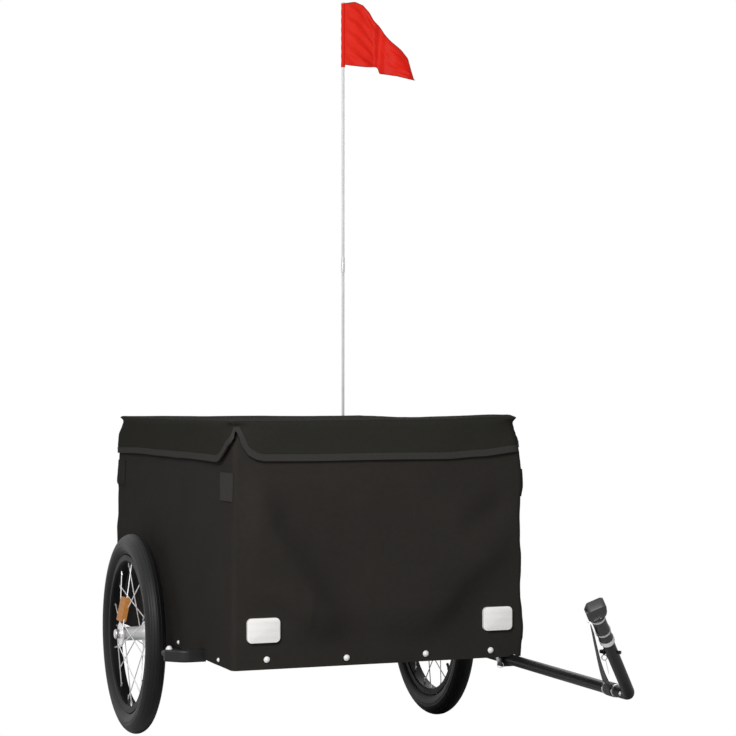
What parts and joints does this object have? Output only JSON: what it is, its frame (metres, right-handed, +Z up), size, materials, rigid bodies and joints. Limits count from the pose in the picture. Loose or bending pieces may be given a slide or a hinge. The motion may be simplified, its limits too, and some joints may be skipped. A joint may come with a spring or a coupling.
{
  "type": "bicycle cargo trailer",
  "caption": "Bicycle cargo trailer: fabric box on a steel frame, lift-off cover, spoked wheels, a bent side tow arm with a swivel hitch, and a safety flag on a pole.",
  "frame": {"origin": "centre of the footprint, on the ground that the tyres and the tow arm's elbow rest on", "axes": "+X forward, towards the tow hitch; +Y to the trailer's left, the tow arm's side; +Z up"},
  "size_m": [1.4564, 0.7414, 1.6434],
  "materials": {
    "frame_steel": "black powder coat",
    "bar_steel": "black powder coat, slightly glossy",
    "arm_steel": "black powder coat, glossy",
    "head_steel": "dark grey coat, satin",
    "box_fabric": "black coated polyester",
    "cover_fabric": "black coated polyester, grey binding tape on the flaps' edges",
    "pocket_fabric": "black webbing sleeve",
    "strap_webbing": "black nylon webbing",
    "flag_nylon": "glossy red-orange nylon",
    "floor_board": "matt black board",
    "tyre_rubber": "matt black rubber",
    "coupling_rubber": "matt dark rubber",
    "rim_black": "black anodised",
    "hub_metal": "satin silver",
    "spoke_steel": "bright wire",
    "axle_steel": "satin steel",
    "pin_steel": "bright zinc",
    "band_steel": "bright steel band",
    "ferrule_metal": "bright aluminium",
    "collar_plastic": "white plastic",
    "end_plug": "matt black plastic",
    "pole_fibre": "white glass-fibre rod",
    "white_reflector": "clear white prismatic reflector",
    "red_reflector": "red prismatic reflector",
    "amber_reflector": "amber prismatic reflector"
  },
  "bodies": {
    "trailer": {"side_rails": "frame_steel", "cross_rails": "frame_steel", "axle_tube": "frame_steel", "corner_posts": "frame_steel", "top_rail": "frame_steel", "floor_panel": "floor_board", "front_panel": "box_fabric", "rear_panel": "box_fabric", "left_panel": "box_fabric", "right_panel": "box_fabric", "front_reflectors": "white_reflector", "rear_reflectors": "red_reflector", "left_guard_bar": "bar_steel", "right_guard_bar": "bar_steel", "left_bar_plug": "end_plug", "right_bar_plug": "end_plug", "tow_arm": "arm_steel", "arm_clips": "arm_steel", "lock_pin": "pin_steel", "riser_pin": "pin_steel", "riser_collar": "collar_plastic", "flex_coupling": "coupling_rubber", "coupling_bands": "band_steel", "king_pin": "pin_steel", "safety_strap": "strap_webbing", "pole_pocket": "pocket_fabric", "left_stub_axle": "axle_steel", "right_stub_axle": "axle_steel"},
    "left_wheel": {"left_tyre": "tyre_rubber", "left_rim": "rim_black", "left_hub": "hub_metal", "left_spokes": "spoke_steel", "left_wheel_reflector": "amber_reflector"},
    "right_wheel": {"right_tyre": "tyre_rubber", "right_rim": "rim_black", "right_hub": "hub_metal", "right_spokes": "spoke_steel", "right_wheel_reflector": "amber_reflector"},
    "lift_off_cover": {"cover": "cover_fabric"},
    "flagpole": {"lower_pole": "pole_fibre", "upper_pole": "pole_fibre", "pole_ferrule": "ferrule_metal", "flag": "flag_nylon"},
    "hitch": {"hitch_head": "head_steel", "keeper_pin": "pin_steel"}
  },
  "joints": [
    {"name": "left_wheel_spin", "type": "hinge", "parent": "trailer", "child": "left_wheel", "pos_m": [-0.42153, 0.33235, 0.203], "axis": [0, 1, 0], "continuous": true},
    {"name": "right_wheel_spin", "type": "hinge", "parent": "trailer", "child": "right_wheel", "pos_m": [-0.42153, -0.33235, 0.203], "axis": [0, 1, 0], "continuous": true},
    {"name": "cover_lift", "type": "slide", "parent": "trailer", "child": "lift_off_cover", "axis": [0.1804, 0, 0.9836], "range_m": [0, 0.45]},
    {"name": "flagpole_lift", "type": "slide", "parent": "trailer", "child": "flagpole", "axis": [0.1804, 0, 0.9836], "range_m": [0, 0.2]},
    {"name": "hitch_swivel", "type": "hinge", "parent": "trailer", "child": "hitch", "pos_m": [0.70051, 0.1422, 0.13358], "axis": [0.6476, -0.5485, 0.5289], "range_deg": [-60, 60]}
  ]
}
